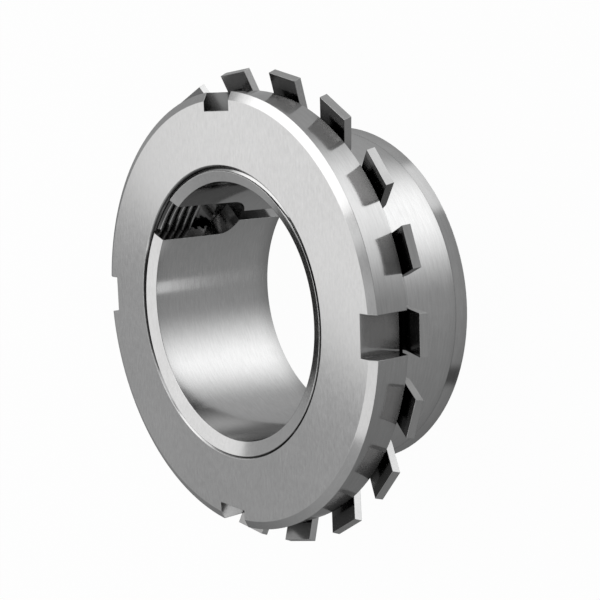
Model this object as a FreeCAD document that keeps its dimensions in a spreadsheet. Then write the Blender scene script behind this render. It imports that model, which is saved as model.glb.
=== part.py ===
import FreeCAD, Part
import math
import os
import Sketcher

# Driving dimensions in millimetres and degrees, by the name that the formulas use.
SIZES = {
    # Inner ring
    "bore_diameter": 35.0,
    "inner_ring_length": 21.44,
    "thread_wall": 1.93,
    "taper_step": 0.855,
    "taper_length": 10.75,
    "rim_length": 1.67,
    "dish_depth": 0.8,
    "bore_end_chamfer": 0.2,
    "ring_edge_chamfer": 0.1,
    # Keyway and slit of the inner ring
    "keyway_width": 6.44,
    "keyway_length": 13.67,
    "slit_width": 1.86,
    "keyway_azimuth": 139.0,
    # Outer ring
    "outer_ring_wall": 3.08,
    "outer_ring_length": 11.7,
    "outer_ring_relief": 0.135,
    "outer_ring_rear_wall": 0.1,
    "taper_clearance": 0.04,
    "outer_ring_chamfer": 0.3,
    # Lock washer
    "washer_thickness": 1.05,
    "washer_play": 1.02,
    "washer_overhang": 1.5,
    "tab_count": 19,
    "tab_width": 5.26,
    "tab_length": 5.02,
    "tab_angle": 25.0,
    "tab_bend_run": 0.35,
    "tab_bend_radius": 0.3,
    # Lock nut
    "nut_diameter": 58.6,
    "nut_width": 6.95,
    "thread_clearance": 0.05,
    "nut_bore_chamfer": 0.25,
    "nut_front_chamfer_width": 1.14,
    "nut_front_chamfer_depth": 0.55,
    "nut_back_chamfer_width": 4.0,
    "nut_back_chamfer_depth": 1.62,
    "slot_count": 4,
    "slot_depth": 2.6,
    "slot_clearance": 0.1,
    # Flat faces that press on each other
    "seat_gap": 0.03,
}

# Sizes that follow from the driving ones. Heights are above the large end of the inner ring.
DERIVED = {
    "bore_radius": "bore_diameter / 2",
    "thread_radius": "bore_radius + thread_wall",
    "keyway_centre_height": "inner_ring_length - keyway_length + keyway_width / 2",
    "taper_small_radius": "thread_radius + taper_step",
    "outer_ring_bore_radius": "taper_small_radius + outer_ring_relief",
    "outer_ring_radius": "outer_ring_bore_radius + outer_ring_wall",
    "outer_ring_rear_radius": "outer_ring_radius - outer_ring_rear_wall",
    "taper_seat_radius": "outer_ring_rear_radius - taper_clearance",
    "taper_slope": "(taper_seat_radius - taper_small_radius) / (taper_length - rim_length)",
    "rim_radius": "taper_seat_radius + rim_length * taper_slope",
    "outer_ring_front": "rim_length + outer_ring_length",
    "outer_ring_taper_top": "rim_length + (outer_ring_rear_radius - outer_ring_bore_radius)"
                            " / taper_slope",
    "washer_back": "outer_ring_front + seat_gap",
    "washer_front": "washer_back + washer_thickness",
    "nut_radius": "nut_diameter / 2",
    "nut_back_radius": "nut_radius - nut_back_chamfer_width",
    "washer_bore_radius": "thread_radius + washer_play",
    "washer_body_radius": "nut_back_radius + washer_overhang",
    "tab_root_radius": "washer_body_radius - washer_thickness",
    "tab_bend_front": "washer_body_radius + tab_bend_run",
    "tab_bend_back": "tab_bend_front + washer_thickness * tan(tab_angle * 0.5 deg)",
    "tab_tip_front_radius": "tab_bend_front + tab_length * cos(tab_angle * 1 deg)",
    "tab_tip_front_height": "washer_front + tab_length * sin(tab_angle * 1 deg)",
    "tab_tip_back_radius": "tab_tip_front_radius + washer_thickness * sin(tab_angle * 1 deg)",
    "tab_tip_back_height": "tab_tip_front_height - washer_thickness * cos(tab_angle * 1 deg)",
    "nut_back": "washer_front + seat_gap",
    "nut_front": "nut_back + nut_width",
    "nut_bore_radius": "thread_radius + thread_clearance",
    "slot_width": "tab_width + slot_clearance",
    "slot_floor_radius": "nut_radius - slot_depth",
}

doc = FreeCAD.newDocument("shaft_locking_assembly")
sheet = doc.addObject("Spreadsheet::Sheet", "Sizes")


def fill_sheet():
    """Write one row for each size: its name, its value or formula, and the alias."""
    row = 1
    for name, value in list(SIZES.items()) + list(DERIVED.items()):
        sheet.set(f"A{row}", name)
        sheet.set(f"B{row}", f"={value}" if isinstance(value, str) else str(value))
        sheet.setAlias(f"B{row}", name)
        row += 1
    doc.recompute()


def bound(formula):
    """Turn a formula of size names into one that any object can be bound to."""
    words = formula.replace("(", " ( ").replace(")", " ) ").split()
    return " ".join(f"Sizes.{word}" if word in SIZES or word in DERIVED else word for word in words)


def value_of(formula):
    """Give the number that a formula of size names has now."""
    result = sheet.evalExpression(bound(formula))
    return float(getattr(result, "Value", result))


def new_body(label):
    body = doc.addObject("PartDesign::Body", label)
    body.Label = label
    return body


def origin_item(body, role):
    return next(item for item in body.Origin.OriginFeatures if item.Role == role)


def new_sketch(body, name, plane):
    sketch = body.newObject("Sketcher::SketchObject", name)
    sketch.AttachmentSupport = (origin_item(body, plane), "")
    sketch.MapMode = "FlatFace"
    return sketch


def bind_constraint(sketch, kind, *places, formula):
    """Add one dimension to a sketch and tie it to its formula."""
    index = sketch.addConstraint(Sketcher.Constraint(kind, *places, value_of(formula)))
    sketch.setExpression(f"Constraints[{index}]", bound(formula))


def draw_polygon(sketch, corners):
    """Draw a closed outline whose corners are pairs of formulas, all to the right of the axis."""
    points = [FreeCAD.Vector(value_of(x), value_of(y), 0) for x, y in corners]
    count = len(points)
    for index in range(count):
        sketch.addGeometry(Part.LineSegment(points[index], points[(index + 1) % count]))
    for index in range(count):
        sketch.addConstraint(Sketcher.Constraint("Coincident", index, 2, (index + 1) % count, 1))
    for index, (x, y) in enumerate(corners):
        bind_constraint(sketch, "DistanceX", -1, 1, index, 1, formula=x)
        if y == "0":
            sketch.addConstraint(Sketcher.Constraint("PointOnObject", index, 1, -1))
        else:
            bind_constraint(sketch, "DistanceY", -1, 1, index, 1, formula=y)


def draw_channel(sketch, start, end, width):
    """Draw a rectangle that lies along the sketch's first axis and is centred on it."""
    left, right, half = value_of(start), value_of(end), value_of(width) / 2
    corners = [(left, -half), (right, -half), (right, half), (left, half)]
    points = [FreeCAD.Vector(x, y, 0) for x, y in corners]
    for index in range(4):
        sketch.addGeometry(Part.LineSegment(points[index], points[(index + 1) % 4]))
    for index in range(4):
        sketch.addConstraint(Sketcher.Constraint("Coincident", index, 2, (index + 1) % 4, 1))
    sketch.addConstraint(Sketcher.Constraint("Horizontal", 0))
    sketch.addConstraint(Sketcher.Constraint("Horizontal", 2))
    sketch.addConstraint(Sketcher.Constraint("Vertical", 1))
    sketch.addConstraint(Sketcher.Constraint("Symmetric", 0, 1, 3, 1, -1))
    if start == "0":
        sketch.addConstraint(Sketcher.Constraint("PointOnObject", 0, 1, -2))
    else:
        bind_constraint(sketch, "DistanceX", -1, 1, 0, 1, formula=start)
    bind_constraint(sketch, "DistanceX", -1, 1, 1, 1, formula=end)
    bind_constraint(sketch, "DistanceY", 1, 1, 1, 2, formula=width)


def revolve(body, name, corners):
    """Turn a profile about the Z axis of its body."""
    sketch = new_sketch(body, f"{name}_profile", "XZ_Plane")
    draw_polygon(sketch, corners)
    feature = body.newObject("PartDesign::Revolution", name)
    feature.Profile = sketch
    feature.ReferenceAxis = (sketch, ["V_Axis"])
    feature.Angle = 360.0
    doc.recompute()
    return feature


def cut(body, name, sketch, reversed_direction, length):
    """Cut a sketch out of its body, and make sure that material went."""
    before = body.Shape.Volume
    feature = body.newObject("PartDesign::Pocket", name)
    feature.Profile = sketch
    feature.Type = "Length"
    feature.setExpression("Length", bound(length))
    feature.Reversed = reversed_direction
    doc.recompute()
    if body.Shape.Volume >= before:
        raise RuntimeError(f"{name} cuts nothing")
    return feature


def repeat_round(body, feature, name, count):
    """Repeat a feature evenly around the Z axis of its body."""
    pattern = body.newObject("PartDesign::PolarPattern", name)
    pattern.Originals = [feature]
    pattern.Axis = (origin_item(body, "Z_Axis"), [""])
    pattern.Angle = 360.0
    pattern.setExpression("Occurrences", bound(count))
    body.Tip = pattern
    doc.recompute()
    return pattern


def make_inner_ring():
    """Split ring with plain bore, thread seat, taper, keyway and slit."""
    body = new_body("inner_ring")
    revolve(body, "inner_ring_turning", [
        ("bore_radius + bore_end_chamfer", "0"),
        ("rim_radius", "0"),
        ("taper_small_radius", "taper_length"),
        ("thread_radius", "taper_length"),
        ("thread_radius", "inner_ring_length - ring_edge_chamfer"),
        ("thread_radius - ring_edge_chamfer", "inner_ring_length"),
        ("bore_radius", "inner_ring_length - dish_depth"),
        ("bore_radius", "bore_end_chamfer"),
    ])
    cut(body, "keyway", draw_keyway(body), True, "rim_radius")
    slit = new_sketch(body, "slit_outline", "XY_Plane")
    draw_channel(slit, "0", "rim_radius + slit_width", "slit_width")
    cut(body, "slit", slit, True, "inner_ring_length")
    body.setExpression("Placement.Rotation.Angle", bound("keyway_azimuth * 1 deg"))
    return body


def draw_keyway(body):
    """Draw the keyway as seen from outside: straight from the front, with a round end."""
    sketch = new_sketch(body, "keyway_outline", "YZ_Plane")
    half = value_of("keyway_width") / 2
    centre = value_of("keyway_centre_height")
    top = value_of("inner_ring_length")
    corners = [(-half, centre), (-half, top), (half, top), (half, centre)]
    points = [FreeCAD.Vector(x, y, 0) for x, y in corners]
    for index in range(3):
        sketch.addGeometry(Part.LineSegment(points[index], points[index + 1]))
    circle = Part.Circle(FreeCAD.Vector(0, centre, 0), FreeCAD.Vector(0, 0, 1), half)
    sketch.addGeometry(Part.ArcOfCircle(circle, math.pi, 2 * math.pi))
    for index in range(2):
        sketch.addConstraint(Sketcher.Constraint("Coincident", index, 2, index + 1, 1))
    # The round end runs from under the left side to under the right one.
    sketch.addConstraint(Sketcher.Constraint("Tangent", 0, 1, 3, 1))
    sketch.addConstraint(Sketcher.Constraint("Tangent", 2, 2, 3, 2))
    sketch.addConstraint(Sketcher.Constraint("Vertical", 0))
    sketch.addConstraint(Sketcher.Constraint("Vertical", 2))
    sketch.addConstraint(Sketcher.Constraint("Symmetric", 0, 2, 1, 2, -2))
    bind_constraint(sketch, "DistanceX", 0, 2, 1, 2, formula="keyway_width")
    bind_constraint(sketch, "DistanceY", -1, 1, 3, 3, formula="keyway_centre_height")
    bind_constraint(sketch, "DistanceY", -1, 1, 0, 2, formula="inner_ring_length")
    return sketch


def make_outer_ring():
    """Closed ring, cylindrical outside, with a bore that matches the taper at the rear."""
    body = new_body("outer_ring")
    revolve(body, "outer_ring_turning", [
        ("outer_ring_rear_radius", "rim_length"),
        ("outer_ring_radius", "rim_length"),
        ("outer_ring_radius", "outer_ring_front - outer_ring_chamfer"),
        ("outer_ring_radius - outer_ring_chamfer", "outer_ring_front"),
        ("outer_ring_bore_radius", "outer_ring_front"),
        ("outer_ring_bore_radius", "outer_ring_taper_top"),
    ])
    return body


def make_lock_washer():
    """Flat washer with tabs that are bent towards the nut."""
    body = new_body("lock_washer")
    revolve(body, "washer_blank", [
        ("washer_bore_radius", "washer_back"),
        ("washer_body_radius", "washer_back"),
        ("washer_body_radius", "washer_front"),
        ("washer_bore_radius", "washer_front"),
    ])
    sketch = new_sketch(body, "tab_section", "XZ_Plane")
    draw_polygon(sketch, [
        ("tab_root_radius", "washer_back"),
        ("tab_bend_back", "washer_back"),
        ("tab_tip_back_radius", "tab_tip_back_height"),
        ("tab_tip_front_radius", "tab_tip_front_height"),
        ("tab_bend_front", "washer_front"),
        ("tab_root_radius", "washer_front"),
    ])
    tab = body.newObject("PartDesign::Pad", "tab")
    tab.Profile = sketch
    tab.SideType = "Symmetric"
    tab.setExpression("Length", bound("tab_width"))
    doc.recompute()
    repeat_round(body, tab, "tabs", "tab_count")
    round_bends(body)
    return body


def round_bends(body):
    """Round the inside and the outside of each tab's bend."""
    bends = (
        ("inside", "tab_bend_front", "washer_front", "tab_bend_radius"),
        ("outside", "tab_bend_back", "washer_back", "tab_bend_radius + washer_thickness"),
    )
    for side, radius, height, fillet_radius in bends:
        base = body.Tip
        names = bend_edges(base.Shape, value_of(radius), value_of(height))
        fillet = body.newObject("PartDesign::Fillet", f"bend_{side}")
        fillet.Base = (base, names)
        fillet.setExpression("Radius", bound(fillet_radius))
        body.Tip = fillet
        doc.recompute()


def bend_edges(shape, radius, height):
    """Name the straight edges whose middle lies at a radius and a height."""
    tolerance = 0.001
    names = []
    for number, edge in enumerate(shape.Edges, start=1):
        middle = edge.valueAt((edge.FirstParameter + edge.LastParameter) / 2)
        reach = (middle.x ** 2 + middle.y ** 2) ** 0.5
        if abs(reach - radius) < tolerance and abs(middle.z - height) < tolerance:
            names.append(f"Edge{number}")
    return names


def make_lock_nut():
    """Ring nut with spanner slots, a chamfered front and a conical back."""
    body = new_body("lock_nut")
    revolve(body, "nut_turning", [
        ("nut_bore_radius + nut_bore_chamfer", "nut_back"),
        ("nut_back_radius", "nut_back"),
        ("nut_radius", "nut_back + nut_back_chamfer_depth"),
        ("nut_radius", "nut_front - nut_front_chamfer_depth"),
        ("nut_radius - nut_front_chamfer_width", "nut_front"),
        ("nut_bore_radius + nut_bore_chamfer", "nut_front"),
        ("nut_bore_radius", "nut_front - nut_bore_chamfer"),
        ("nut_bore_radius", "nut_back + nut_bore_chamfer"),
    ])
    sketch = new_sketch(body, "slot_outline", "XY_Plane")
    draw_channel(sketch, "slot_floor_radius", "nut_radius + slot_depth", "slot_width")
    slot = cut(body, "slot", sketch, True, "nut_front")
    repeat_round(body, slot, "slots", "slot_count")
    return body


def check_document(bodies):
    """Stop if any object failed or any piece isn't one valid solid."""
    for item in doc.Objects:
        if "Invalid" in item.State or "Error" in item.State:
            raise RuntimeError(f"{item.Label} failed: {item.State}")
    for body in bodies:
        shape = body.Shape
        if shape.isNull() or not shape.isValid() or len(shape.Solids) != 1:
            raise RuntimeError(f"{body.Label} isn't one valid solid")


def write_parts(bodies):
    os.makedirs("parts", exist_ok=True)
    for body in bodies:
        body.Shape.exportStep(f"parts/{body.Label}.step")
        box = body.Shape.BoundBox
        print(f"{body.Label}: {body.Shape.Volume:.1f} mm3, z {box.ZMin:.2f} to {box.ZMax:.2f}, "
              f"x {box.XMin:.2f} to {box.XMax:.2f}, y {box.YMin:.2f} to {box.YMax:.2f}")


fill_sheet()
parts = [make_inner_ring(), make_outer_ring(), make_lock_washer(), make_lock_nut()]
doc.recompute()
check_document(parts)
write_parts(parts)
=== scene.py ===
import math
import bmesh
import bpy
from mathutils import Matrix, Quaternion, Vector


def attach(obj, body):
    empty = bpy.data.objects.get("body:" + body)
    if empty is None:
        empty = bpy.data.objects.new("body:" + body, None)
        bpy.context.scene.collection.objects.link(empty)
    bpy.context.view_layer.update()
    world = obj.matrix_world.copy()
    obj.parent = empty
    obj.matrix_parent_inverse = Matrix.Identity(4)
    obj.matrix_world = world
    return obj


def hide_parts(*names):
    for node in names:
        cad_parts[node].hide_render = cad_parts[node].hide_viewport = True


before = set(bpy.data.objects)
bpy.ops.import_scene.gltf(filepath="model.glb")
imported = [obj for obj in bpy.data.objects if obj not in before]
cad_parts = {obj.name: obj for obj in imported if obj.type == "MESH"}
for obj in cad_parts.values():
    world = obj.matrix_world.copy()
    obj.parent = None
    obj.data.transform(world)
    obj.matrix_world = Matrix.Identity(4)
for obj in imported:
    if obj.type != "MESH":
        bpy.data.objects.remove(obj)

MM = 0.001
WHITE = (1.0, 1.0, 1.0, 1.0)
BLACK = (0.0, 0.0, 0.0, 1.0)

# Camera: place, direction, image-up and lens as fitted to the photo
CAMERA_PLACE = Vector((133.40, 26.24, 118.92)) * MM
CAMERA_FORWARD = Vector((-0.76107, -0.14856, -0.63142))
CAMERA_UP = Vector((-0.09343, 0.98837, -0.11994))
LENS = 75.06
SENSOR_WIDTH = 36.0
CLIP_START, CLIP_END = 0.005, 50.0

# Floor and room. A noise has a scale, a detail and a roughness.
FLOOR_SIZE = 12.0
FLOOR_COLOUR = (0.86, 0.86, 0.86)
FLOOR_NOISE = (40.0, 2.0, 0.5)
# Shade of the darker patches, share of plain white that the camera sees, and level of the even light
FLOOR_PATCH_SHADE = 0.97
FLOOR_WHITE = 0.97
ROOM_LIGHT = 0.55

# Lamp: angles in degrees, distance and sides in metres, and what a mirror would show of it
LAMP_AZIMUTH, LAMP_ELEVATION, LAMP_ROLL = 119, 49, 20
LAMP_AIM = Vector((0, 0, 10 * MM))
LAMP_DISTANCE = 0.6
LAMP_WIDTH, LAMP_HEIGHT = 0.34, 0.56
LAMP_RADIANCE = 0.75

# Finishes of the three steels, with the painted shade of recesses, walls, fronts and thread grooves. Reaches
# and widths are in millimetres.
FINISHES = {
    "ring_steel": {"colour": (0.685, 0.682, 0.68), "roughness": 0.135,
                   "recess_reach": 5.0, "recess_shade": 0.54},
    "nut_steel": {"colour": (0.665, 0.662, 0.66), "roughness": 0.135,
                  "recess_reach": 2.6, "recess_shade": 0.60, "wall_shade": 0.88, "painted_thread_shade": True},
    "washer_steel": {"colour": (0.645, 0.642, 0.64), "roughness": 0.16,
                     "recess_reach": 2.0, "recess_shade": 0.78, "front_shade": 0.56, "edge_width": 0.08},
}
DRESS = {"inner_ring": "ring_steel", "outer_ring": "ring_steel",
         "lock_washer": "washer_steel", "lock_nut": "nut_steel"}

# Grain of the steel: scales for radius, length and angle on turned walls, and for x, y and z on flat faces
TURNED_SCALES = (3.2, 3.2, 9.0)
STRAIGHT_SCALES = (2.8, 0.9, 2.8)
GRAIN_NOISE = (1.0, 4.0, 0.7)
SPOT_NOISE = (0.55, 3.0, 0.6)
SMUDGE_NOISE = (0.09, 2.0, 0.5)
# Share of spots and smudges in the mottle, and of smudges among the two
SPOT_SHARE, SMUDGE_SHARE = 0.35, 0.5
# Ranges of the mottle that change the colour and the roughness, and how much they do
MOTTLE_COLOUR, DARKER, LIGHTER = (0.36, 0.64), 0.92, 1.06
MOTTLE_ROUGHNESS, ROUGHNESS_CHANGE = (0.35, 0.65), 0.02
# Axial part of the normal on flat faces and on fronts: from where it counts, and where it counts in full
FLAT_RANGE = (0.80, 0.97)
FRONT_RANGE = (0.80, 0.90)
# Worn edges: likeness of the true and the rounded normal at which wear and its painted highlight start and
# are full
BEVEL_SAMPLES = 6
WEAR_RANGE = (0.995, 0.93)
# The wear is patchy; worn edges are smoother, and brighter partly from wear and partly as a painted
# highlight
WEAR_SPOTS, WEAR_LEAST = (0.35, 0.65), 0.4
WORN_AND_HIGHLIGHT_SHINE, WORN_ROUGHNESS = 1.18, 0.8
# Painted shade in recesses: shares of open sky at which it is full and at which it ends
RECESS_SAMPLES = 8
RECESS_LOW, RECESS_HIGH = 0.30, 0.88
# Relief of the grain in millimetres and its strength, and the stretch of highlights on turned walls
GRAIN_DEPTH = 0.0015
BUMP_STRENGTH = 0.25
ANISOTROPY, ANISOTROPY_TURN = 0.2, 0.25

# Grey tent, seen only in reflections. Azimuth and elevation are in degrees, a level of 1 is white.
TENT_RADIUS = 0.9
TENT_SEGMENTS, TENT_RINGS = 64, 32
TENT_COLOUR = (0.99, 0.997, 1.0, 1.0)
# Its wall, by azimuth and level, passes into its top between two elevations. The zenith is brighter.
TENT_WALL = ((0, 0.335), (40, 0.36), (100, 0.46), (148, 0.355), (198, 0.40), (222, 0.165), (250, 0.20),
             (300, 0.25), (330, 0.28), (360, 0.335))
TENT_TOP = 0.41
TENT_TOP_START, TENT_TOP_END = 0, 50
ZENITH, ZENITH_SOFT, ZENITH_LEVEL = 84, 3, 0.71
# Opening to the white room: its sides, its lower edge, and the pole of its slanting edge
OPENING_SIDES = (97, 300)
OPENING_EDGE = 31.6
OPENING_POLE = (68.7, 34.8)
# Degrees from that pole's equator to the slanting edge, and the half width of every soft edge
OPENING_SHIFT = 1.0
OPENING_SOFT = 1.6
# Panels: azimuth and elevation of the centre, half width and height, softness, level
PANELS = (
    ((69.0, 13.0), (17.0, 42.0), 4.0, 0.96),
    ((339.0, -29.8), (5.0, 2.8), 1.0, 1.28),
    ((312.0, -15.0), (6.0, 9.0), 3.0, 0.08),
    ((89.0, 77.0), (12.0, 5.0), 5.0, 1.02),
    ((198.0, -9.0), (24.0, 12.0), 5.0, 0.24),
    ((350.0, 50.0), (48.0, 14.0), 6.0, 0.07),
)
# Large soft light low on one side, by azimuth: where its left flank rises and where its right one falls
GLOW_LEFT = (0, 56)
GLOW_RIGHT = (55, 103)
# Degrees by which the right flank moves for each degree of elevation above this one
GLOW_LEAN, GLOW_HEIGHT = 1.5, -35
# Elevations at which it is full and at which it ends, and its level
GLOW_FULL, GLOW_END = -31, -20
GLOW_LEVEL = 1.40
# Share of the tent and of its opening that is left where they are seen by way of two or more surfaces
LATER_SHARE = 0.46

# Thread, right-hand: pitch, steps in a turn, turns over which it fades, and one point of its course
THREAD_PITCH = 1.25
THREAD_STEPS = 96
THREAD_FADE = 0.2
THREAD_AZIMUTH = 139.0
THREAD_HEIGHT = 18.92
# Depth of its two end sections, in steps of the fade
THREAD_END = 0.2
# Ridge in the nut's bore and groove in the inner ring: radii, half widths and heights in millimetres
RIDGE = {"base": 19.50, "tip": 19.02, "base_half": 0.40, "tip_half": 0.11, "start": 14.9, "end": 20.75}
GROOVE = {"base": 19.60, "tip": 18.94, "base_half": 0.50, "tip_half": 0.15, "start": 11.2, "end": 22.2}
# Painted shade in the grooves of the nut's thread: its share, their radii and how softly they end there
THREAD_DARK = 0.20
THREAD_CREST, CREST_SOFT = 19.08, 0.05
THREAD_ROOT, ROOT_SOFT = 19.60, 0.03
# Heights of the bare strip before the thread, and azimuths of the run of painted shade on the chamfer in
# front of it
THREAD_STRIP = (20.78, 21.08)
RUN_START, RUN_FULL, RUN_STOP, RUN_SOFT = 62, 78, 211, 1

# Meshes: distance at which corners are joined, in millimetres, and angle of a sharp edge in degrees
WELD = 0.0001
SHARP_ANGLE = 28
# Largest shares of a normal along the turn and along z for a face to count as running around the axis
AROUND_LIMIT, AXIAL_LIMIT = 0.06, 0.97

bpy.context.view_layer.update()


class Tree:
    """Short calls for building a node tree."""

    def __init__(self, tree):
        self.tree = tree
        self.tree.nodes.clear()

    def put(self, value, socket):
        """Link a socket, or set a plain value."""
        if isinstance(value, bpy.types.NodeSocket):
            self.tree.links.new(value, socket)
        elif value is not None:
            socket.default_value = value

    def node(self, kind, values=None, **settings):
        """New node with its settings, and with values or links for some of its inputs."""
        node = self.tree.nodes.new(kind)
        for name, setting in settings.items():
            setattr(node, name, setting)
        for key, value in (values or {}).items():
            self.put(value, node.inputs[key])
        return node

    def close(self, shader, kind="ShaderNodeOutputMaterial"):
        """Lead a shader to the output."""
        self.node(kind, {"Surface": shader.outputs[0]})

    def math(self, operation, first, second=None, third=None):
        return self.node("ShaderNodeMath", {0: first, 1: second, 2: third}, operation=operation).outputs[0]

    def degrees(self, angle):
        return self.math("MULTIPLY", angle, 180 / math.pi)

    def full_circle(self, angle):
        """An angle in radians as degrees from 0 to 360."""
        return self.math("WRAP", self.degrees(angle), 360.0, 0.0)

    def combine(self, x, y, z):
        return self.node("ShaderNodeCombineXYZ", {0: x, 1: y, 2: z}).outputs[0]

    def scaled(self, parts, scales):
        """Vector of three numbers, each times its scale."""
        return self.combine(*(self.math("MULTIPLY", part, scale) for part, scale in zip(parts, scales)))

    def split(self, vector):
        return self.node("ShaderNodeSeparateXYZ", {0: vector}).outputs

    def dot(self, first, second):
        node = self.node("ShaderNodeVectorMath", {0: first, 1: second}, operation="DOT_PRODUCT")
        return node.outputs["Value"]

    def noise(self, vector, scale, detail, roughness):
        values = {"Vector": vector, "Scale": scale, "Detail": detail, "Roughness": roughness}
        return self.node("ShaderNodeTexNoise", values).outputs["Fac"]

    def spread(self, value, low, high, to_low, to_high, smooth=False):
        """Map a value's range onto another one, held at the ends."""
        values = {"Value": value, "From Min": low, "From Max": high, "To Min": to_low, "To Max": to_high}
        kind = "SMOOTHSTEP" if smooth else "LINEAR"
        return self.node("ShaderNodeMapRange", values, interpolation_type=kind).outputs["Result"]

    def rises(self, value, edge, soft):
        """From 0 to 1 around an edge."""
        return self.spread(value, edge - soft, edge + soft, 0.0, 1.0, smooth=True)

    def between(self, value, low, high, soft):
        """1 between two edges, 0 outside them."""
        return self.math("MULTIPLY", self.rises(value, low, soft),
                         self.math("SUBTRACT", 1.0, self.rises(value, high, soft)))

    def ramp(self, value, stops):
        """Straight steps between pairs of place and level."""
        node = self.node("ShaderNodeValToRGB", {0: value})
        elements = node.color_ramp.elements
        while len(elements) < len(stops):
            elements.new(0.5)
        for element, (place, level) in zip(elements, stops):
            element.position = place
            element.color = (level, level, level, 1.0)
        return node.outputs[0]

    def blend(self, share, first, second):
        """Mix two numbers."""
        return self.node("ShaderNodeMix", {0: share, 2: first, 3: second}, data_type="FLOAT").outputs[0]

    def tint(self, share, first, second):
        """Mix two colours."""
        return self.node("ShaderNodeMix", {0: share, 6: first, 7: second}, data_type="RGBA").outputs[2]

    def seen(self):
        """1 for the camera, and for what it sees by way of metal or glass."""
        path = self.node("ShaderNodeLightPath").outputs
        onward = self.math("MAXIMUM", path["Is Glossy Ray"], path["Is Transmission Ray"])
        return self.math("MAXIMUM", path["Is Camera Ray"], onward)


def new_material(name):
    """Material and its empty tree."""
    material = bpy.data.materials.new(name)
    material.use_nodes = True
    return material, Tree(material.node_tree)


def shaded(colour, share):
    """Brighter or darker colour for a socket."""
    return tuple(min(1.0, part * share) for part in colour) + (1.0,)


def turned_place(tree):
    """Place in millimetres, radius, angle around the axis, and the axial part of the normal."""
    place = tree.node("ShaderNodeTexCoord")
    x, y, z = (tree.math("MULTIPLY", part, 1 / MM) for part in tree.split(place.outputs["Object"]))
    radius = tree.math("SQRT", tree.math("ADD", tree.math("MULTIPLY", x, x), tree.math("MULTIPLY", y, y)))
    angle = tree.math("ARCTAN2", y, x)
    return (x, y, z), radius, angle, tree.split(place.outputs["Normal"])[2]


def thread_mask(tree, radius, z, angle):
    """1 where painted shade goes: in the grooves of the nut's thread and in the run on the chamfer, 0 on
    everything else.
    """
    below_crest = tree.spread(radius, THREAD_CREST, THREAD_CREST + CREST_SOFT, 0.0, 1.0)
    above_root = tree.spread(radius, THREAD_ROOT - ROOT_SOFT, THREAD_ROOT + ROOT_SOFT, 1.0, 0.0)
    turn = tree.full_circle(angle)
    run = tree.math("MULTIPLY", tree.spread(turn, RUN_START, RUN_FULL, 0.0, 1.0),
                    tree.spread(turn, RUN_STOP - RUN_SOFT, RUN_STOP + RUN_SOFT, 1.0, 0.0))
    front = tree.math("MULTIPLY", tree.math("GREATER_THAN", z, THREAD_STRIP[1]), run)
    behind = tree.math("LESS_THAN", z, THREAD_STRIP[0])
    inside = tree.math("MULTIPLY", below_crest, above_root)
    return tree.math("MULTIPLY", inside, tree.math("ADD", front, behind))


def edge_wear_and_highlight(tree, spots, width):
    """Rounded normal, and the wear with its painted highlight: where that normal leaves the true one."""
    bevel = tree.node("ShaderNodeBevel", {"Radius": width * MM}, samples=BEVEL_SAMPLES)
    rounded = bevel.outputs[0]
    likeness = tree.dot(rounded, tree.node("ShaderNodeNewGeometry").outputs["Normal"])
    wear_and_highlight = tree.spread(likeness, *WEAR_RANGE, 0.0, 1.0)
    return rounded, tree.math("MULTIPLY", wear_and_highlight, tree.spread(spots, *WEAR_SPOTS, WEAR_LEAST, 1.0))


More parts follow.
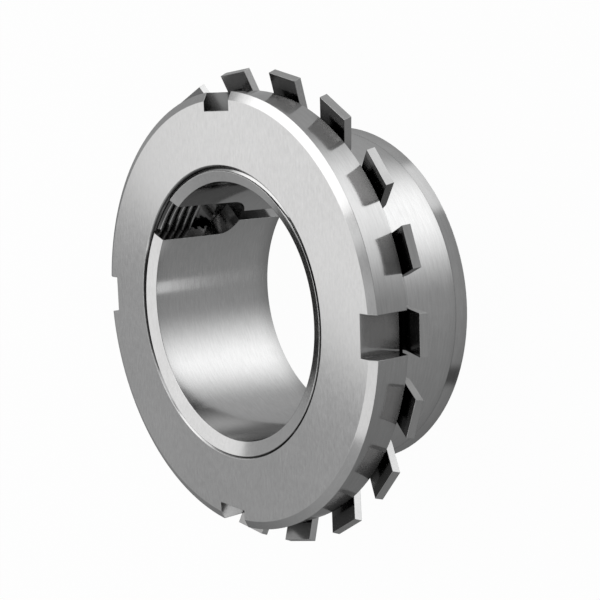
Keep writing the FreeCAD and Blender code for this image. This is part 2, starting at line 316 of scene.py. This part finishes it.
def steel(name, colour, roughness, recess_reach, recess_shade, wall_shade=1.0, front_shade=1.0,
          edge_width=0.10, painted_thread_shade=False):
    """Satin steel: lines around the axis on walls, a fine straight grain on flat faces, painted shade in
    recesses, grooves and on some faces, and worn edges with a painted highlight.
    """
    material, tree = new_material(name)
    point, radius, angle, normal_z = turned_place(tree)
    flat = tree.spread(tree.math("ABSOLUTE", normal_z), *FLAT_RANGE, 0.0, 1.0)

    # Grain, spots and smudges
    turned = tree.noise(tree.scaled((radius, point[2], angle), TURNED_SCALES), *GRAIN_NOISE)
    straight = tree.noise(tree.scaled(point, STRAIGHT_SCALES), *GRAIN_NOISE)
    grain = tree.blend(flat, turned, straight)
    spots = tree.noise(tree.combine(*point), *SPOT_NOISE)
    smudges = tree.noise(tree.combine(*point), *SMUDGE_NOISE)
    mottle = tree.blend(SPOT_SHARE, grain, tree.blend(SMUDGE_SHARE, spots, smudges))

    # Worn edges that carry a painted highlight, and painted shade in recesses
    rounded, wear_and_highlight = edge_wear_and_highlight(tree, spots, edge_width)
    recess = tree.node("ShaderNodeAmbientOcclusion", {"Distance": recess_reach * MM}, samples=RECESS_SAMPLES)
    painted_recess_mask = tree.spread(recess.outputs["AO"], RECESS_LOW, RECESS_HIGH, 1.0, 0.0, smooth=True)

    # Colour
    mottled = tree.spread(mottle, *MOTTLE_COLOUR, 0.0, 1.0)
    paint = tree.tint(mottled, shaded(colour, DARKER), shaded(colour, LIGHTER))
    # Worn edges brighter: partly wear, partly a painted highlight
    paint = tree.tint(wear_and_highlight, paint, shaded(colour, WORN_AND_HIGHLIGHT_SHINE))
    # Painted shade: recesses darkened by how little open sky they see
    paint = tree.tint(painted_recess_mask, paint, shaded(colour, recess_shade))
    # Painted shade: walls darker than flat faces, by the wall share
    if wall_shade < 1.0:
        paint = tree.tint(tree.spread(flat, 0.0, 1.0, wall_shade, 1.0), BLACK, paint)
    # Painted shade: faces turned towards the front, such as the washer's tabs facing the nut, darkened
    if front_shade < 1.0:
        paint = tree.tint(tree.spread(normal_z, *FRONT_RANGE, 1.0, front_shade), BLACK, paint)
    # Painted shade in the thread's grooves and on the run of the chamfer
    if painted_thread_shade:
        paint = tree.tint(thread_mask(tree, radius, point[2], angle), paint, shaded(colour, THREAD_DARK))

    # Shine and relief
    change = tree.spread(mottle, *MOTTLE_ROUGHNESS, -ROUGHNESS_CHANGE, ROUGHNESS_CHANGE)
    rough = tree.blend(wear_and_highlight, tree.math("ADD", roughness, change), roughness * WORN_ROUGHNESS)
    bump = tree.node("ShaderNodeBump", {"Strength": BUMP_STRENGTH, "Distance": GRAIN_DEPTH * MM,
                                        "Height": grain, "Normal": rounded})
    tangent = tree.node("ShaderNodeTangent", direction_type="RADIAL", axis="Z")
    stretch = tree.math("MULTIPLY", tree.math("SUBTRACT", 1.0, flat), ANISOTROPY)
    tree.close(tree.node("ShaderNodeBsdfPrincipled", {
        "Base Color": paint,
        "Metallic": 1.0,
        "Roughness": rough,
        "Anisotropic": stretch,
        "Anisotropic Rotation": ANISOTROPY_TURN,
        "Tangent": tangent.outputs[0],
        "Normal": bump.outputs[0],
    }))
    return material


def dress(node, material):
    """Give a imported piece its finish."""
    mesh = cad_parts[node].data
    mesh.materials.clear()
    mesh.materials.append(material)


def add_object(name, data):
    """Put a mesh, a lamp or a camera into the scene."""
    piece = bpy.data.objects.new(name, data)
    bpy.context.scene.collection.objects.link(piece)
    return piece


def helix(name, base, tip, base_half, tip_half, start, end):
    """Closed spiral bar with a trapezoid section, from one height to another. It fades in and out."""
    steps = math.ceil((end - start) / THREAD_PITCH * THREAD_STEPS)
    fade = THREAD_FADE * THREAD_STEPS
    bar = bmesh.new()
    rings = []
    for step in range(steps + 1):
        height = start + (end - start) * step / steps
        angle = math.radians(THREAD_AZIMUTH) + (height - THREAD_HEIGHT) / THREAD_PITCH * 2 * math.pi
        depth = min(1.0, (step + THREAD_END) / fade, (steps - step + THREAD_END) / fade)
        reach = base + (tip - base) * depth
        half = base_half + (tip_half - base_half) * depth
        section = ((base, -base_half), (reach, -half), (reach, half), (base, base_half))
        x, y = math.cos(angle), math.sin(angle)
        rings.append([bar.verts.new(Vector((radius * x, radius * y, height + shift)) * MM)
                      for radius, shift in section])
    for first, second in zip(rings, rings[1:]):
        for corner in range(4):
            following = (corner + 1) % 4
            bar.faces.new((first[corner], first[following], second[following], second[corner]))
    bar.faces.new(rings[0][::-1])
    bar.faces.new(rings[-1])
    bmesh.ops.recalc_face_normals(bar, faces=bar.faces)
    mesh = bpy.data.meshes.new(name)
    bar.to_mesh(mesh)
    bar.free()
    return add_object(name, mesh)


def smooth_turned(mesh):
    """Give surfaces that run around the axis the normals of a true round, and keep sharp edges."""
    mesh.shade_smooth()
    mesh.set_sharp_from_angle(angle=math.radians(SHARP_ANGLE))
    normals = [Vector(corner.vector) for corner in mesh.corner_normals]
    for face in mesh.polygons:
        outward = Vector((face.center.x, face.center.y, 0)).normalized()
        around = Vector((-outward.y, outward.x, 0))
        if abs(face.normal.dot(around)) > AROUND_LIMIT or abs(face.normal.z) > AXIAL_LIMIT:
            continue
        for loop in face.loop_indices:
            spot = mesh.vertices[mesh.loops[loop].vertex_index].co
            away = Vector((spot.x, spot.y, 0)).normalized()
            normals[loop] = (away * face.normal.dot(outward) + Vector((0, 0, face.normal.z))).normalized()
    mesh.normals_split_custom_set(normals)


def ring_blank():
    """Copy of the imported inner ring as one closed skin, without its stored normals."""
    raw = bmesh.new()
    raw.from_mesh(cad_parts["inner_ring"].data)
    bmesh.ops.remove_doubles(raw, verts=raw.verts, dist=WELD * MM)
    mesh = bpy.data.meshes.new("threaded_ring")
    raw.to_mesh(mesh)
    raw.free()
    for attribute in [item for item in mesh.attributes if item.name == "custom_normal"]:
        mesh.attributes.remove(attribute)
    return add_object("threaded_ring_blank", mesh)


def make_threaded_ring(material):
    """Inner ring with its fine outside thread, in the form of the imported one."""
    blank = ring_blank()
    cutter = helix("thread_cutter", **GROOVE)
    cut = blank.modifiers.new("thread", "BOOLEAN")
    cut.operation = "DIFFERENCE"
    cut.solver = "EXACT"
    cut.object = cutter
    bpy.context.view_layer.update()
    mesh = bpy.data.meshes.new_from_object(blank.evaluated_get(bpy.context.evaluated_depsgraph_get()))
    mesh.name = "threaded_ring"
    bpy.data.objects.remove(cutter)
    bpy.data.objects.remove(blank)
    mesh.materials.clear()
    mesh.materials.append(material)
    smooth_turned(mesh)
    piece = add_object("threaded_ring", mesh)
    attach(piece, "inner_ring")
    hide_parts("inner_ring")


def make_nut_thread(material):
    """Thread ridge in the bore of the nut, seen through the keyway."""
    ridges = helix("nut_thread", **RIDGE)
    ridges.data.materials.append(material)
    smooth_turned(ridges.data)
    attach(ridges, "lock_nut")


def make_floor():
    """Pale floor that shows nearly white to the camera and keeps part of its shading."""
    bpy.ops.mesh.primitive_plane_add(size=FLOOR_SIZE)
    floor = bpy.context.object
    floor.name = "floor"
    material, tree = new_material("pale_floor")
    white = tree.math("MULTIPLY", tree.seen(), FLOOR_WHITE)
    patches = tree.noise(tree.node("ShaderNodeTexCoord").outputs["Object"], *FLOOR_NOISE)
    colour = tree.tint(patches, shaded(FLOOR_COLOUR, FLOOR_PATCH_SHADE), shaded(FLOOR_COLOUR, 1.0))
    matte = tree.node("ShaderNodeBsdfDiffuse", {"Color": colour})
    glow = tree.node("ShaderNodeEmission", {"Color": WHITE})
    tree.close(tree.node("ShaderNodeMixShader", {0: white, 1: matte.outputs[0], 2: glow.outputs[0]}))
    floor.data.materials.append(material)
    floor.visible_glossy = False


def towards(azimuth, elevation):
    """Direction for two angles in degrees."""
    turn, rise = math.radians(azimuth), math.radians(elevation)
    return Vector((math.cos(turn) * math.cos(rise), math.sin(turn) * math.cos(rise), math.sin(rise)))


def tent_level(tree, azimuth, elevation):
    """Brightness of the tent: wall and top, zenith, panels, and the glow on one side."""
    wall = tree.ramp(tree.math("DIVIDE", azimuth, 360), [(at / 360, level) for at, level in TENT_WALL])
    top = tree.spread(elevation, TENT_TOP_START, TENT_TOP_END, 0.0, 1.0, smooth=True)
    level = tree.blend(top, wall, TENT_TOP)
    level = tree.blend(tree.rises(elevation, ZENITH, ZENITH_SOFT), level, ZENITH_LEVEL)
    for (turn, height), (half_width, half_height), soft, panel_level in PANELS:
        aside = tree.math("ABSOLUTE", tree.math("WRAP", tree.math("SUBTRACT", azimuth, turn), 180.0, -180.0))
        above = tree.math("ABSOLUTE", tree.math("SUBTRACT", elevation, height))
        outside = tree.math("MAXIMUM", tree.rises(aside, half_width, soft),
                            tree.rises(above, half_height, soft))
        level = tree.blend(outside, panel_level, level)
    lean = tree.math("MULTIPLY", tree.math("SUBTRACT", GLOW_HEIGHT, elevation), -GLOW_LEAN)
    left = tree.spread(azimuth, *GLOW_LEFT, 0.0, 1.0, smooth=True)
    right = tree.spread(tree.math("ADD", azimuth, lean), *GLOW_RIGHT, 1.0, 0.0, smooth=True)
    under = tree.spread(elevation, GLOW_FULL, GLOW_END, 1.0, 0.0, smooth=True)
    return tree.blend(tree.math("MULTIPLY", tree.math("MULTIPLY", left, right), under), level, GLOW_LEVEL)


def tent_opening(tree, way, azimuth, elevation):
    """1 where the tent is open to the white room."""
    slant = tree.degrees(tree.math("ARCSINE", tree.dot(way, tuple(towards(*OPENING_POLE)))))
    window = tree.math("MULTIPLY", tree.between(azimuth, *OPENING_SIDES, OPENING_SOFT),
                       tree.between(elevation, OPENING_EDGE, ZENITH, OPENING_SOFT))
    return tree.math("MULTIPLY", window, tree.rises(slant, OPENING_SHIFT, OPENING_SOFT))


def make_tent():
    """Grey tent that only reflections see, open to the white room high on one side."""
    bpy.ops.mesh.primitive_uv_sphere_add(segments=TENT_SEGMENTS, ring_count=TENT_RINGS, radius=TENT_RADIUS)
    tent = bpy.context.object
    tent.name = "tent"
    material, tree = new_material("tent")
    place = tree.node("ShaderNodeTexCoord").outputs["Object"]
    x, y, z = (tree.math("DIVIDE", part, TENT_RADIUS) for part in tree.split(place))
    azimuth = tree.full_circle(tree.math("ARCTAN2", y, x))
    elevation = tree.degrees(tree.math("ARCSINE", z))

    # Both the light and the opening are weaker for later reflections
    bounces = tree.node("ShaderNodeLightPath").outputs["Ray Depth"]
    share = tree.spread(bounces, 1.0, 2.0, 1.0, LATER_SHARE)
    level = tree.math("MULTIPLY", tent_level(tree, azimuth, elevation), share)
    opening = tree.math("MULTIPLY", tent_opening(tree, tree.combine(x, y, z), azimuth, elevation), share)
    light = tree.node("ShaderNodeEmission", {"Color": TENT_COLOUR, "Strength": level})
    clear = tree.node("ShaderNodeBsdfTransparent")
    tree.close(tree.node("ShaderNodeMixShader", {0: opening, 1: light.outputs[0], 2: clear.outputs[0]}))
    tent.data.materials.append(material)
    tent.visible_camera = False
    tent.visible_diffuse = False
    tent.visible_shadow = False
    tent.visible_transmission = False


def make_lamp():
    """Soft box that looks at the object."""
    light = bpy.data.lights.new("key_lamp", "AREA")
    light.shape = "RECTANGLE"
    light.size = LAMP_WIDTH
    light.size_y = LAMP_HEIGHT
    light.energy = LAMP_RADIANCE * math.pi * LAMP_WIDTH * LAMP_HEIGHT
    lamp = add_object("key_lamp", light)
    away = towards(LAMP_AZIMUTH, LAMP_ELEVATION)
    lamp.location = away * LAMP_DISTANCE + LAMP_AIM
    lamp.rotation_mode = "QUATERNION"
    lamp.rotation_quaternion = away.to_track_quat("Z", "Y") @ Quaternion((0, 0, 1), math.radians(LAMP_ROLL))
    lamp.visible_camera = False


def make_world():
    """White room behind everything, and a plain even light on what isn't shiny."""
    world = bpy.data.worlds.new("studio")
    bpy.context.scene.world = world
    world.use_nodes = True
    tree = Tree(world.node_tree)
    strength = tree.blend(tree.seen(), ROOM_LIGHT, 1.0)
    tree.close(tree.node("ShaderNodeBackground", {"Color": WHITE, "Strength": strength}),
               "ShaderNodeOutputWorld")


def make_camera():
    """Camera as fitted, with its three directions made square to each other."""
    data = bpy.data.cameras.new("camera")
    data.lens = LENS
    data.sensor_width = SENSOR_WIDTH
    data.clip_start = CLIP_START
    data.clip_end = CLIP_END
    camera = add_object("camera", data)
    forward = CAMERA_FORWARD.normalized()
    right = forward.cross(CAMERA_UP).normalized()
    up = right.cross(forward)
    turn = Matrix((right, up, -forward)).transposed()
    camera.matrix_world = Matrix.Translation(CAMERA_PLACE) @ turn.to_4x4()
    bpy.context.scene.camera = camera


steels = {name: steel(name, **finish) for name, finish in FINISHES.items()}
for node, name in DRESS.items():
    dress(node, steels[name])
make_threaded_ring(steels["ring_steel"])
make_nut_thread(steels["nut_steel"])

make_floor()
make_world()
make_tent()
make_lamp()
make_camera()

bpy.context.scene.view_settings.view_transform = "Standard"
